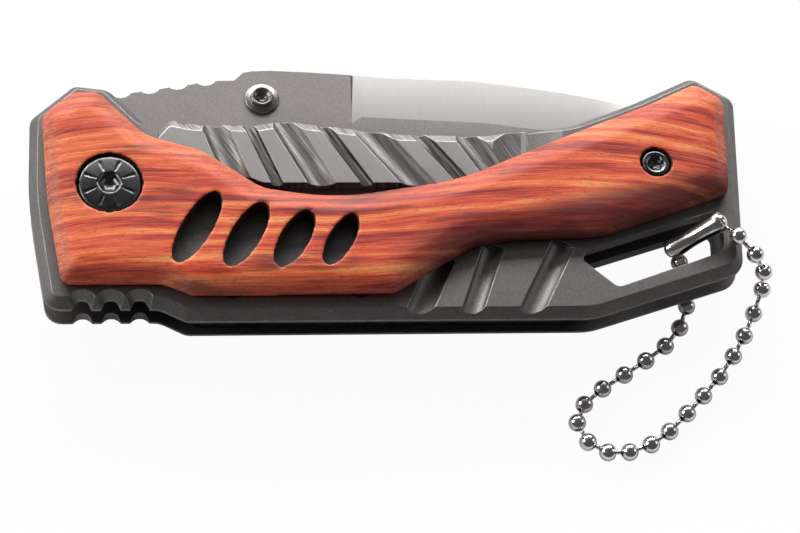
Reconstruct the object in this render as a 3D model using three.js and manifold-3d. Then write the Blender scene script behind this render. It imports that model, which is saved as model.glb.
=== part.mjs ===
// Folding pocket knife with a frame lock, closed and lying flat.
// Units are millimetres. The origin is on the pivot axis, at the surface the knife lies on.
// +X runs along the handle towards its tail, +Y towards the open side that the blade swings out of, +Z up.
import * as THREE from 'three';
import { mergeVertices } from 'three/addons/utils/BufferGeometryUtils.js';
import Module from 'manifold-3d';

const wasm = await Module();
wasm.setup();

// Stack of the handle, from the surface upwards
const scaleThickness = 3.6;
const frameThickness = 2.5;
const bladeGap = 4.4;
const bladeThickness = 3.0;
const slack = 0.1; // running and assembly clearance
const chordError = 0.02; // how far a drawn arc may leave the true one

const rearFrameBottom = scaleThickness;
const rearFrameTop = rearFrameBottom + frameThickness;
const frontFrameBottom = rearFrameTop + bladeGap;
const frontFrameTop = frontFrameBottom + frameThickness;
const overallTop = frontFrameTop + scaleThickness;
const middleHeight = overallTop / 2;
const bladeBottom = middleHeight - bladeThickness / 2;
const bladeTop = middleHeight + bladeThickness / 2;

// Handle outline
const frontReach = 13.5; // pivot axis to the bolster's front end
const tailReach = 107.1; // pivot axis to the tail
const backReach = 23.0; // pivot axis to the handle's back
const bolsterBack = 20.7; // pivot axis to the back beside the thumb notches
const bolsterTop = 21.5;
const bolsterStep = 5.4; // where the bolster ends and the lock bar's gap starts
const waistTop = 14.0; // pivot axis to the handle's open side behind the lock bar
const tailTop = 23.7;
const chamferInset = 1.5;
const chamferHeight = 1.9;
const notchDepth = 1.7;
const notchFloor = 1.7; // width of a thumb notch at its floor
const notchMouth = 3.2;
const notchPitch = 4.7;
const notchCount = 3;
const notchStart = -4.55;

// Lock bar
const barTip = 8.1;
const barEnd = 71.4;
const barTop = 13.3;
const barBottom = 1.8;
const barSlot = 1.4; // width of the slot beside the bar
const barChamferInset = 1.6;
const barChamferHeight = 0.8;
const barTipTop = 14.4; // rounded rise at the bar's free end
const barOpenSide = 10.6; // everything of the bar's outline above this is its open side
const barRelief = 0.3; // underside cut back from the frame's inner face
const neckThickness = 0.95;
const scoopRadius = 15;
const scoopOverrun = 1.2; // the scoop's line leans this much to each side of the bar's end
const gripBumpPitch = 2.9;
const gripBumpCount = 5;
const gripCutRadius = 1.0;
const gripStart = 4.2; // bar's tip to the first cut between two bumps
const barFluteDepth = 1.2;
const frameFluteDepth = 1.1;
const detentRadius = 0.8;
const detentSetback = 4.2; // bar's tip to the detent ball
const detentLine = 10.6;

// Pivot, stop and fasteners
const pivotRadius = 3.0;
const pivotHeadRadius = 5.2;
const pivotHeadHeight = 1.6;
const pivotShankRadius = 1.9;
const washerRadius = 6.0;
const socketRadius = 1.6;
const headRecess = 0.25;
const stopRadius = 2.0;
const stopDistance = 14.6;
const stopAngle = -52;
const pinEndRadius = 1.25;
const tangRadius = 11.2;
const tailX = 92.5;
const tailY = 3.9;
const tailHeadRadius = 2.45;
const tailHeadHeight = 1.5;
const tailHeadRecess = 0.3;
const standoffRadius = 2.75;
const screwRadius = 1.1;
const screwHeadRadius = 2.0;
const spacerSetback = 1.2; // handle's back to the spacer
const spacerDepth = 7.4;
const spacerScrewInset = 5.3; // handle's back to the screws
const spacerScrewLine = -backReach + spacerScrewInset;
const spacerScrews = [20, 41];

// Blade
const bladeTip = 100.4;
const edgeDrop = 4.8; // pivot axis to the cutting edge
const spineRise = 25.75; // pivot axis to the highest point of the spine
const rampDrop = 2.05; // from there to the foot of the thumb ramp
const tangDrop = 6.0; // pivot axis to the unsharpened heel
const tangLength = 16.5;
const tangTop = 23.35;
const tangHeel = 3.5; // how far the tang reaches behind the pivot axis
const tangFillet = 1;
const kickReach = 10.9; // pivot axis to the kick's corner
const grindWidth = 13;
const swedgeWidth = 8.8;
const swedgeStart = 41.5;
const swedgePlunge = 0.6; // over which the swedge's face starts at the spine
const swedgeLean = 1.2; // its lower end starts this much nearer the point
const spineThickness = 1.1;
const edgeThickness = 0.3;
const pointThickness = 0.75;
const pointWidth = 9; // the blade thins where it is narrower than this
const grindPlunge = 3.6; // over which the ground faces at the edge start
const studX = 26.0;
const studSetback = 5.85; // spine's highest point to the stud
const studY = spineRise - studSetback;
const studRadius = 1.95;
const studFlangeRadius = 3.0;
const studHeight = 1.25;
const studFlangeHeight = 0.45;
const studCupRadius = 1.45;
const studShankRadius = 1.2;
const studNutRadius = 2.1;
const studNutHeight = 1.4;
const spineGripCount = 4;
const spineGripPitch = 4.85;
const spineGripStart = 1.75;
const spineGripRadius = 2.2;
const spineGripSetback = 3.75; // below the spine's highest point, at the pivot axis
const spineGripSlope = 0.174;

// Wood scale
const woodEdgeHeight = 2.3; // upright rim under the bevel
const woodEdgeInset = 0.12;
const woodBevelInset = 2.1;
const woodBevelTop = 3.2;
const woodCrownInset = 4.0; // the crown falls away to the bevel from here
const woodHeadRoom = 0.25; // round a screw head
const windowLean = 61; // degrees from the handle's length
const windows = [
  { x: 14.3, y: -8.2, long: 7.25, short: 2.4 },
  { x: 22.35, y: -9.6, long: 6.6, short: 2.4 },
  { x: 30.25, y: -10.4, long: 5.75, short: 2.3 },
  { x: 37.9, y: -10.6, long: 5.2, short: 2.0 },
];

// Ball chain
const beadRadius = 1.5;
const linkRadius = 0.4;
const connectorRadius = 1.85;
const connectorWall = 0.25;
const connectorOverhang = 0.9;
const connectorPlay = 0.35; // room round a link in the connector's side opening
const beadPlaces = [
  [102.3, -7.1, 15.2], [105.6, -9.4, 14.7], [108.7, -12.0, 12.9], [110.9, -13.5, 9.2],
  [111.5, -14.8, 5.0], [110.5, -17.8, 1.5], [108.3, -22.0, 1.5], [105.9, -25.8, 1.5],
  [103.0, -29.6, 1.5], [99.8, -33.1, 1.5], [96.6, -36.3, 1.5], [93.2, -39.5, 1.5],
  [89.8, -41.8, 1.5], [86.0, -43.1, 1.5], [82.3, -43.1, 1.5], [79.1, -41.2, 1.5],
  [77.6, -37.7, 1.5], [79.1, -34.4, 1.5], [82.5, -31.6, 1.5], [86.5, -29.1, 1.5],
  [90.5, -26.5, 1.5], [94.2, -23.8, 1.5], [97.1, -20.4, 1.5], [98.8, -16.3, 1.5],
  [98.4, -12.1, 1.6], [97.4, -9.8, 5.4], [95.4, -9.2, 9.6],
];

const materials = {
  frame: new THREE.MeshStandardMaterial({ color: 0x6b6764, roughness: 0.55, metalness: 0.9 }),
  lockBar: new THREE.MeshStandardMaterial({ color: 0x8c8884, roughness: 0.45, metalness: 0.95 }),
  blade: new THREE.MeshStandardMaterial({ color: 0x9a9692, roughness: 0.4, metalness: 1.0 }),
  wood: new THREE.MeshStandardMaterial({ color: 0xb5482a, roughness: 0.55, metalness: 0.0 }),
  black: new THREE.MeshStandardMaterial({ color: 0x1c1c20, roughness: 0.4, metalness: 0.8 }),
  steel: new THREE.MeshStandardMaterial({ color: 0x8a8a8c, roughness: 0.35, metalness: 1.0 }),
  bronze: new THREE.MeshStandardMaterial({ color: 0xa9824a, roughness: 0.4, metalness: 1.0 }),
  chrome: new THREE.MeshStandardMaterial({ color: 0xd8d8da, roughness: 0.12, metalness: 1.0 }),
};

// Outlines: corners are [x, y, fillet radius], listed with the material on the left

function offsetCorners(corners, distance) {
  const moved = [];
  corners.forEach(([x, y, radius, steps], index) => {
    const before = corners[(index + corners.length - 1) % corners.length];
    const after = corners[(index + 1) % corners.length];
    const incoming = new THREE.Vector2(x - before[0], y - before[1]).normalize();
    const outgoing = new THREE.Vector2(after[0] - x, after[1] - y).normalize();
    const turn = incoming.cross(outgoing);
    const inwardIn = new THREE.Vector2(-incoming.y, incoming.x);
    const inwardOut = new THREE.Vector2(-outgoing.y, outgoing.x);
    const mitre = inwardIn.add(inwardOut).multiplyScalar(distance / (1 + incoming.dot(outgoing)));
    const newRadius = Math.max(radius - Math.sign(turn) * distance, 0.05);
    moved.push([x + mitre.x, y + mitre.y, radius > 0 ? newRadius : 0, steps]);
  });
  return moved;
}

function arcSteps(corners) {
  return corners.map(([x, y, radius], index) => {
    const before = corners[(index + corners.length - 1) % corners.length];
    const after = corners[(index + 1) % corners.length];
    const incoming = new THREE.Vector2(x - before[0], y - before[1]);
    const outgoing = new THREE.Vector2(after[0] - x, after[1] - y);
    const angle = Math.abs(Math.atan2(incoming.cross(outgoing), incoming.dot(outgoing)));
    const stepAngle = 2 * Math.acos(1 - Math.min(chordError / Math.max(radius, chordError), 0.5));
    return [x, y, radius, radius > 0 ? Math.max(1, Math.ceil(angle / stepAngle)) : 0];
  });
}

function traceOutline(corners) {
  const points = [];
  corners.forEach(([x, y, radius, steps], index) => {
    const before = corners[(index + corners.length - 1) % corners.length];
    const after = corners[(index + 1) % corners.length];
    const corner = new THREE.Vector2(x, y);
    if (!steps) {
      points.push(corner);
      return;
    }
    const incoming = new THREE.Vector2(x - before[0], y - before[1]).normalize();
    const outgoing = new THREE.Vector2(after[0] - x, after[1] - y).normalize();
    const turn = Math.atan2(incoming.cross(outgoing), incoming.dot(outgoing));
    const side = Math.sign(turn);
    const reach = radius * Math.tan(Math.abs(turn) / 2);
    const start = corner.clone().addScaledVector(incoming, -reach);
    const centre = start.clone().add(new THREE.Vector2(-incoming.y, incoming.x).multiplyScalar(side * radius));
    const spoke = start.clone().sub(centre);
    for (let step = 0; step <= steps; step += 1) {
      const angle = (turn * step) / steps;
      points.push(spoke.clone().rotateAround(new THREE.Vector2(), angle).add(centre));
    }
  });
  return points;
}

// Solids

function skin(rings, bottomFaces, topFaces = bottomFaces) {
  const count = rings[0].length;
  const positions = rings.flat().flatMap((point) => [point.x, point.y, point.z]);
  const faces = [];
  for (let ring = 0; ring < rings.length - 1; ring += 1) {
    for (let place = 0; place < count; place += 1) {
      const next = (place + 1) % count;
      const low = ring * count;
      const high = low + count;
      faces.push(low + place, low + next, high + next, low + place, high + next, high + place);
    }
  }
  const top = (rings.length - 1) * count;
  bottomFaces.forEach(([a, b, c]) => faces.push(a, c, b));
  topFaces.forEach(([a, b, c]) => faces.push(top + a, top + b, top + c));
  const geometry = new THREE.BufferGeometry();
  geometry.setAttribute('position', new THREE.Float32BufferAttribute(positions, 3));
  geometry.setIndex(faces);
  return geometry;
}

// Plate whose outline is drawn in at some heights: levels are [height, inset]
function plate(corners, levels) {
  const stepped = arcSteps(corners);
  const flatRings = levels.map(([height, inset]) => {
    const points = traceOutline(offsetCorners(stepped, inset));
    return points.map((point) => new THREE.Vector3(point.x, point.y, height));
  });
  const capFaces = (ring) => {
    const contour = ring.map((point) => new THREE.Vector2(point.x, point.y));
    return THREE.ShapeUtils.triangulateShape(contour, []);
  };
  return toSolid(skin(flatRings, capFaces(flatRings[0]), capFaces(flatRings[flatRings.length - 1])));
}

function toSolid(geometry) {
  const bare = new THREE.BufferGeometry();
  bare.setAttribute('position', geometry.getAttribute('position').clone());
  bare.setIndex(geometry.getIndex());
  const merged = mergeVertices(bare, 1e-5);
  const places = merged.getAttribute('position').array;
  const triangles = [];
  const index = merged.getIndex().array;
  for (let corner = 0; corner < index.length; corner += 3) {
    const [a, b, c] = index.slice(corner, corner + 3);
    if (a !== b && b !== c && c !== a) {
      triangles.push(a, b, c);
    }
  }
  return new wasm.Manifold(new wasm.Mesh({
    numProp: 3,
    vertProperties: new Float32Array(places),
    triVerts: new Uint32Array(triangles),
  }));
}

function toGeometry(solid) {
  const mesh = solid.getMesh();
  const geometry = new THREE.BufferGeometry();
  geometry.setAttribute('position', new THREE.BufferAttribute(new Float32Array(mesh.vertProperties), 3));
  geometry.setIndex(new THREE.BufferAttribute(new Uint32Array(mesh.triVerts), 1));
  const flat = geometry.toNonIndexed();
  flat.computeVertexNormals();
  return flat;
}

function cut(solid, cutters) {
  return cutters.reduce((rest, cutter) => rest.subtract(cutter), solid);
}

function join(solids) {
  return solids.reduce((whole, solid) => whole.add(solid));
}

// Upright cylinder or cone between two heights
function post(x, y, radius, low, high, sides = 32, topRadius = radius) {
  const geometry = new THREE.CylinderGeometry(topRadius, radius, high - low, sides);
  geometry.rotateX(Math.PI / 2);
  geometry.translate(x, y, (low + high) / 2);
  return toSolid(geometry);
}

// Turned piece about an upright axis: profile points are [radius, height]
function turned(x, y, profile, sides = 32) {
  const geometry = new THREE.LatheGeometry(profile.map(([radius, height]) => new THREE.Vector2(radius, height)), sides);
  geometry.rotateX(Math.PI / 2);
  geometry.translate(x, y, 0);
  return toSolid(geometry);
}

// Round bar between two points
function bar(from, to, radius, sides = 12) {
  const start = new THREE.Vector3(...from);
  const direction = new THREE.Vector3(...to).sub(start);
  const geometry = new THREE.CylinderGeometry(radius, radius, direction.length(), sides);
  const turn = new THREE.Quaternion().setFromUnitVectors(
    new THREE.Vector3(0, 1, 0),
    direction.clone().normalize(),
  );
  geometry.applyQuaternion(turn);
  geometry.translate(...start.addScaledVector(direction, 0.5).toArray());
  return toSolid(geometry);
}

// Milled flute: a round cutter lying across the top face, from one point to the other
function flute(from, to, width, depth, surface) {
  const radius = (width * width) / (8 * depth) + depth / 2;
  const height = surface - depth + radius;
  return bar([...from, height], [...to, height], radius, 40);
}

function mirrorAcrossMiddle(solid) {
  return solid.translate([0, 0, -middleHeight]).mirror([0, 0, 1]).translate([0, 0, middleHeight]);
}

// Shared outlines

const handleCorners = [
  [-10.4, -bolsterBack, 3],
  [8.0, -bolsterBack, 4],
  [12.4, -backReach, 3],
  [80.2, -backReach, 12],
  [tailReach - 0.3, -14.5, 3.8],
  [tailReach + 2.0, 19.2, 2.4],
  [102.0, tailTop, 2.4],
  [91.0, 18.4, 40],
  [79.9, waistTop, 12],
  [64.3, 11.2, 30],
  [46.2, 11.9, 40],
  [30.1, waistTop, 8],
  [bolsterStep + 2, 13.4, 2],
  [bolsterStep, 14.6, 0.6],
  [-0.3, bolsterTop - 0.75, 3.2],
  [-6.1, bolsterTop, 1.6],
  [-frontReach, 14.7, 2.6],
  [-frontReach, -0.8, 60],
];

const windowCut = (window, low, high) => {
  const geometry = new THREE.CylinderGeometry(1, 1, high - low, 28);
  geometry.rotateX(Math.PI / 2);
  geometry.scale(window.long, window.short, 1);
  geometry.rotateZ(THREE.MathUtils.degToRad(windowLean));
  geometry.translate(window.x, window.y, (low + high) / 2);
  return toSolid(geometry);
};

const barCorners = [
  [barTip, 9.4, 0.4],
  [12.8, 8.0, 1.5],
  [25.5, barBottom, 3],
  [barEnd, barBottom, 0],
  [barEnd, 12.5, 0],
  [63.8, 11.3, 14],
  [49.2, 11.6, 30],
  [29.1, waistTop + 0.2, 5],
  [24.6, barTop, 1.5],
  [13.4, barTop + 0.25, 3],
  [barTip + 2, barTipTop, 1.1],
  [barTip, 11.9, 1],
];

const barOpening = [
  [bolsterStep, 7.6, 1],
  [12.2, 7.6 - barSlot, 1.5],
  [24.5, barBottom - barSlot, 2],
  [29.5, barBottom - barSlot - 1.6, 2],
  [45.5, barBottom - barSlot - 1.6, 2],
  [51.5, barBottom - barSlot, 2],
  [barEnd, barBottom - barSlot, 0],
  [barEnd, 40, 0],
  [bolsterStep, 40, 0],
];

const lanyardCorners = [
  [78.9, -13.0, 0.8],
  [84.4, -18.0, 1.5],
  [103.4, -11.3, 2.2],
  [103.8, -3.5, 1.5],
  [96.5, -5.6, 4],
  [79.4, -11.1, 0.6],
];

const woodCorners = [
  [-7.8, -17.4, 1.6],
  [8.4, -17.4, 3],
  [13.3, -19.5, 2],
  [46.5, -19.4, 1.8],
  [60.3, -10.8, 12],
  [67.3, -9.6, 10],
  [82.4, -9.1, 20],
  [105.1, -1.0, 1.6],
  [106.3, 17.2, 2.4],
  [101.4, 20.4, 2.2],
  [92.3, 16.0, 30],
  [77.8, 10.0, 30],
  [58.2, 1.4, 40],
  [37.6, -2.1, 40],
  [25.3, -0.1, 6],
  [15.5, 7.0, 8],
  [6.0, 9.9, 8],
  [-1.9, 18.3, 2.4],
  [-6.2, 18.2, 2],
  [-11.4, 13.7, 2.4],
  [-10.3, -2.3, 60],
];

const spacerCorners = [
  [13.5, -backReach + spacerSetback, 1],
  [76.0, -backReach + spacerSetback, 1],
  [76.0, -backReach + spacerSetback + spacerDepth, 1.5],
  [13.5, -backReach + spacerSetback + spacerDepth, 1.5],
];

const detentPlace = [barTip + detentSetback, detentLine];
const stopX = stopDistance * Math.cos(THREE.MathUtils.degToRad(stopAngle));
const stopY = stopDistance * Math.sin(THREE.MathUtils.degToRad(stopAngle));

// Grooves of the lock bar: upper end, lower end and width of each
const barFlutes = [
  [[17.0, 14.5], [21.7, 1.5], 4.4],
  [[23.1, 14.0], [28.5, 0.5], 1.8],
  [[28.9, 14.5], [36.2, 0.5], 4.4],
  [[35.6, 14.0], [44.0, 0.5], 1.8],
  [[42.4, 14.0], [52.9, 0.5], 4.8],
  [[50.9, 13.5], [60.9, 0.5], 2.2],
  [[59.3, 13.5], [67.3, 0.5], 4.4],
];

// Flutes beside the lower edge of the wood
const frameFlutes = [
  [[55.3, -12.1], [49.9, -23.6], 4.2],
  [[63.9, -10.1], [58.9, -23.6], 3.6],
  [[75.9, -9.6], [68.6, -23.6], 4.0],
];

// Frames

function frameHoles(low, high) {
  return [
    post(0, 0, pivotRadius + slack, low, high),
    post(tailX, tailY, screwRadius + slack, low, high, 20),
    post(stopX, stopY, pinEndRadius + slack, low, high, 20),
    plate(lanyardCorners, [[low, 0], [high, 0]]),
  ];
}

// The notches' mouths widen through the chamfer by the flare
function thumbNotches(low, high, flare) {
  const edge = high - chamferHeight;
  const floor = notchDepth - bolsterBack;
  const slope = (notchMouth - notchFloor) / notchDepth;
  const mouth = notchMouth + slope;
  const cutters = [];
  for (let notch = 0; notch < notchCount; notch += 1) {
    const x = notchStart + notch * notchPitch;
    const corners = [
      [x - mouth / 2, -bolsterBack - 1, 0],
      [x + mouth / 2, -bolsterBack - 1, 0],
      [x + notchFloor / 2, floor, 0.9],
      [x - notchFloor / 2, floor, 0.9],
    ];
    cutters.push(plate(corners, [[low - 1, 0], [edge, 0], [high, -flare], [high + 0.1, -flare]]));
  }
  return cutters;
}

function countersinks(surface, direction) {
  return spacerScrews.map((x) => countersunkShape(x, surface, direction, slack));
}

function countersunkShape(x, surface, direction, extra) {
  const headDepth = (screwHeadRadius - screwRadius) * direction;
  const tip = surface - direction * (frameThickness + bladeGap * 0.4 + extra);
  const start = surface + direction * extra * 0.5;
  const profile = [
    [0, tip],
    [screwRadius + extra, tip],
    [screwRadius + extra, surface - headDepth],
    [screwHeadRadius + extra, start],
    [0, start],
  ];
  return turned(x, spacerScrewLine, direction > 0 ? profile : profile.reverse(), 20);
}

function handlePlate(notchFlare) {
  const low = frontFrameBottom;
  const high = frontFrameTop;
  const body = plate(handleCorners, [[low, 0], [high - chamferHeight, 0], [high, chamferInset]]);
  const flutes = frameFlutes.map(([from, to, width]) => flute(from, to, width, frameFluteDepth, high));
  return cut(body, [...frameHoles(low - 1, high + 1), ...thumbNotches(low, high, notchFlare), ...flutes]);
}

function reliefScoop() {
  const height = frontFrameBottom + barRelief + neckThickness + scoopRadius;
  const low = [barEnd - scoopOverrun, barBottom - barSlot - 2, height];
  const high = [barEnd + scoopOverrun, tailTop, height];
  return bar(low, high, scoopRadius, 96);
}

function frontFrame() {
  const opening = plate(barOpening, [[frontFrameBottom - 1, 0], [frontFrameTop + 1, 0]]);
  const body = cut(handlePlate(chamferInset * 0.75), [opening, ...countersinks(frontFrameTop, 1)]);
  return body.subtract(reliefScoop().intersect(scoopRoom()));
}

// The scoop is milled only as far as the bar is wide
function scoopRoom() {
  const corners = [
    [barEnd - 20, barBottom - 2, 0],
    [barEnd + 20, barBottom - 2, 0],
    [barEnd + 20, 30, 0],
    [barEnd - 20, 30, 0],
  ];
  return plate(corners, [[frontFrameBottom - 1, 0], [frontFrameTop + 1, 0]]);
}

function lockBar() {
  const low = frontFrameBottom + barRelief;
  const edge = frontFrameTop - barChamferHeight;
  const blank = plate(barCorners, [[low, 0], [frontFrameTop, 0]]);
  const grips = [];
  for (let bump = 0; bump < gripBumpCount; bump += 1) {
    const x = barTip + gripStart + bump * gripBumpPitch;
    const y = barTop + 0.7 + 0.07 * (gripBumpCount - 1 - bump);
    grips.push(post(x, y, gripCutRadius, low - 1, frontFrameTop + 1, 16));
  }
  const flutes = barFlutes.map(([from, to, width]) => flute(from, to, width, barFluteDepth, frontFrameTop));
  const pocket = post(...detentPlace, detentRadius + slack / 2, low - 1, low + 2 * detentRadius + slack, 16);
  return cut(blank, [...grips, ...flutes, openSideChamfer(edge), reliefScoop(), pocket]);
}

// Long shallow chamfer along the bar's open side, following its outline
function openSideChamfer(edge) {
  const outer = traceOutline(arcSteps(barCorners)).filter((point) => point.y > barOpenSide);
  const top = frontFrameTop + 0.5;
  const reach = barChamferInset * (1 + 0.5 / barChamferHeight);
  const rings = outer.map((point) => [
    new THREE.Vector3(point.x, point.y + 4, edge),
    new THREE.Vector3(point.x, point.y, edge),
    new THREE.Vector3(point.x, point.y - reach, top),
    new THREE.Vector3(point.x, point.y + 4, top),
  ]);
  rings.sort((a, b) => a[0].x - b[0].x);
  const first = rings[0].map((point) => point.clone().setX(barTip - 2));
  const last = rings[rings.length - 1].map((point) => point.clone().setX(barEnd + 2));
  const spaced = [first, ...rings.filter((ring, index) => !index || ring[0].x - rings[index - 1][0].x > 0.05), last];
  return toSolid(outward(skin(spaced, [[0, 1, 2], [0, 2, 3]])));
}

function outward(geometry) {
  const places = geometry.getAttribute('position');
  const index = geometry.getIndex().array;
  const [a, b, c] = [new THREE.Vector3(), new THREE.Vector3(), new THREE.Vector3()];
  let volume = 0;
  for (let corner = 0; corner < index.length; corner += 3) {
    a.fromBufferAttribute(places, index[corner]);
    b.fromBufferAttribute(places, index[corner + 1]);
    c.fromBufferAttribute(places, index[corner + 2]);
    volume += a.dot(b.cross(c));
  }
  if (volume < 0) {
    geometry.setIndex([...index].reverse());
  }
  return geometry;
}

function rearFrame() {
  const body = mirrorAcrossMiddle(handlePlate(0));
  return cut(body, countersinks(rearFrameBottom, -1));
}

function backSpacer() {
  const blank = plate(spacerCorners, [[rearFrameTop, 0], [frontFrameBottom, 0]]);
  const holes = spacerScrews.map((x) => post(x, spacerScrewLine, screwRadius + slack, 0, overallTop, 20));
  return cut(blank, holes);
}

// Blade

// Places along the blade: distance from the pivot axis, rise of the edge above its lowest line,
// and drop of the spine below its highest point
const bladeStations = [
  [tangLength - 2.5, edgeDrop - tangDrop, rampDrop + 0.75],
  [tangLength + 0.8, edgeDrop - tangDrop, rampDrop + 0.25],
  [tangLength + 2.0, 0, rampDrop + 0.05],
  [21.2, 0, rampDrop],
  [22.9, 0, 0.45],
  [24.5, 0, 0.12],
  [27.5, 0, 0],
  [33, 0, 0.25],
  [38, 0, 0.55],
  [swedgeStart, 0, 0.8],
  [swedgeStart + swedgePlunge, 0, 0.45],
  [swedgeStart + swedgePlunge + swedgeLean + 0.5, 0, 0.55],
  [50, 0, 0.95],
  [59, 0.2, 1.25],
  [64.5, 0.9, 1.65],
  [70, 2.1, 2.35],
  [75, 3.8, 3.1],
  [80, 6.0, 3.95],
  [85, 8.8, 5.0],
  [89, 11.4, 6.1],
  [92.5, 13.9, 7.2],
  [95.5, 15.8, 8.3],
  [98.2, 17.4, 9.5],
  [bladeTip, 18.2, 10.7],
];

function bladeRing([x, edgeRise, spineDrop]) {
  const edge = edgeRise - edgeDrop;
  const spine = spineRise - spineDrop;
  const width = spine - edge;
  const grindShare = THREE.MathUtils.clamp((x - tangLength) / grindPlunge, 0, 1);
  const swedgeShare = THREE.MathUtils.clamp((x - swedgeStart) / swedgePlunge, 0, 1);
  const lean = Math.abs(x - swedgeStart - swedgePlunge) < swedgePlunge / 2 ? swedgeLean : 0;
  const full = bladeThickness / 2;
  const thinning = Math.min(1, width / pointWidth);
  const body = THREE.MathUtils.lerp(pointThickness / 2, full, thinning);
  const edgeHalf = THREE.MathUtils.lerp(full, edgeThickness / 2, grindShare);
  const spineHalf = THREE.MathUtils.lerp(full, (spineThickness / 2) * thinning + 0.1, swedgeShare);
  const grind = edge + Math.min(grindWidth, width * 0.5);
  const swedge = spine - Math.min(swedgeWidth, width * 0.42);
  const ring = [
    [edge, -edgeHalf],
    [edge, edgeHalf],
    [grind, body],
    [swedge, body, lean],
    [spine, spineHalf],
    [spine, -spineHalf],
    [swedge, -body, lean],
    [grind, -body],
  ];
  return ring.map(([y, z, forward = 0]) => new THREE.Vector3(x + forward, y, middleHeight + z));
}

function blade() {
  const rings = bladeStations.map(bladeRing);
  const fan = [1, 2, 3, 4, 5, 6].map((place) => [0, place, place + 1]);
  const body = toSolid(outward(skin(rings, fan)));
  const kick = stopY + stopRadius + slack;
  const shoulder = -stopX + stopRadius + slack;
  const tangCorners = [
    [kickReach, kick, tangFillet],
    [kickReach + 1.7, -tangDrop, tangFillet],
    [tangLength, -tangDrop, 0],
    [tangLength, tangTop, 0],
    [-tangHeel, tangTop - 3.5, tangFillet],
    [shoulder, tangTop - 6.7, tangFillet],
    [shoulder, 0, 0],
    [0, kick, 0],
  ];
  const tang = plate(tangCorners, [[bladeBottom, 0], [bladeTop, 0]]);
  const round = post(0, 0, tangRadius, bladeBottom, bladeTop, 72);
  const grips = [];
  for (let grip = 0; grip < spineGripCount; grip += 1) {
    const x = spineGripStart + grip * spineGripPitch;
    const y = spineRise - spineGripSetback + spineGripSlope * x;
    grips.push(post(x, y, spineGripRadius, bladeBottom - 1, bladeTop + 1, 16));
  }
  const pivotHole = post(0, 0, pivotRadius + slack, bladeBottom - 1, bladeTop + 1);
  const studHole = post(studX, studY, studShankRadius + slack, bladeBottom - 1, bladeTop + 1, 20);
  return cut(join([body, tang, round]), [...grips, pivotHole, studHole]);
}

function thumbStud() {
  const top = bladeTop + studHeight;
  const flange = bladeTop + studFlangeHeight;
  const foot = bladeBottom - studNutHeight + slack;
  const profile = [
    [0, foot],
    [studShankRadius, foot],
    [studShankRadius, bladeTop],
    [studFlangeRadius, bladeTop],
    [studFlangeRadius, flange - 0.25],
    [studFlangeRadius - 0.3, flange],
    [studRadius, flange],
    [studRadius, top - 0.2],
    [studRadius - 0.2, top],
    [studCupRadius, top],
    [studCupRadius * 0.55, top - 0.6],
    [0, top - 0.75],
  ];
  return turned(studX, studY, profile, 32);
}

function studNut() {
  const bore = studShankRadius + slack;
  const foot = bladeBottom - studNutHeight;
  const profile = [
    [bore, foot],
    [studNutRadius - 0.4, foot],
    [studNutRadius, foot + 0.4],
    [studNutRadius, bladeBottom],
    [bore, bladeBottom],
    [bore, foot],
  ];
  return turned(studX, studY, profile, 24);
}

// Pivot

function pivotBarrel() {
  const top = overallTop - pivotHeadHeight - slack;
  const floor = rearFrameTop;
  const bore = pivotShankRadius + slack;
  const profile = [
    [0, 0],
    [pivotHeadRadius - 0.4, 0],
    [pivotHeadRadius, 0.4],
    [pivotHeadRadius, pivotHeadHeight],
    [pivotRadius, pivotHeadHeight],
    [pivotRadius, top],
    [bore, top],
    [bore, floor],
    [0, floor],
  ];
  return turned(0, 0, profile, 32);
}

function pivotScrew() {
  const seat = overallTop - pivotHeadHeight;
  const rim = seat + pivotHeadHeight - headRecess;
  const profile = [
    [0, rearFrameTop + 1.2],
    [pivotShankRadius - 0.3, rearFrameTop + 1.2],
    [pivotShankRadius, rearFrameTop + 1.5],
    [pivotShankRadius, seat],
    [pivotHeadRadius, seat],
    [pivotHeadRadius, rim - 0.35],
    [pivotHeadRadius - 0.35, rim],
    [pivotHeadRadius * 0.6, rim + 0.17],
    [0, rim + 0.25],
  ];
  const head = turned(0, 0, profile, 32);
  const grooves = [];
  for (let mark = 0; mark < 8; mark += 1) {
    const angle = (mark / 8) * 2 * Math.PI + 0.2;
    const [dx, dy] = [Math.cos(angle), Math.sin(angle)];
    const height = rim + 0.17;
    grooves.push(bar([2.2 * dx, 2.2 * dy, height + 0.05], [4.4 * dx, 4.4 * dy, height - 0.08], 0.18, 6));
  }
  return cut(head, [post(0, 0, socketRadius, rim - 1.0, rim + 1, 6), ...grooves]);
}

function washer(low, high) {
  const inner = pivotRadius + slack;
  const profile = [[inner, low], [washerRadius, low], [washerRadius, high], [inner, high], [inner, low]];
  return turned(0, 0, profile, 32);
}

function stopPin() {
  const shoulder = frameThickness - 0.4;
  return join([
    post(stopX, stopY, stopRadius, rearFrameTop, frontFrameBottom, 24),
    post(stopX, stopY, pinEndRadius, rearFrameTop - shoulder, frontFrameBottom + shoulder, 20),
  ]);
}

function detentBall() {
  const geometry = new THREE.SphereGeometry(detentRadius, 12, 8);
  geometry.translate(...detentPlace, frontFrameBottom + barRelief + detentRadius);
  return toSolid(geometry);
}

// Tail fasteners

function tailStandoff() {
  const blank = post(tailX, tailY, standoffRadius, rearFrameTop, frontFrameBottom);
  return blank.subtract(post(tailX, tailY, screwRadius + slack, 0, overallTop, 20));
}

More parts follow.
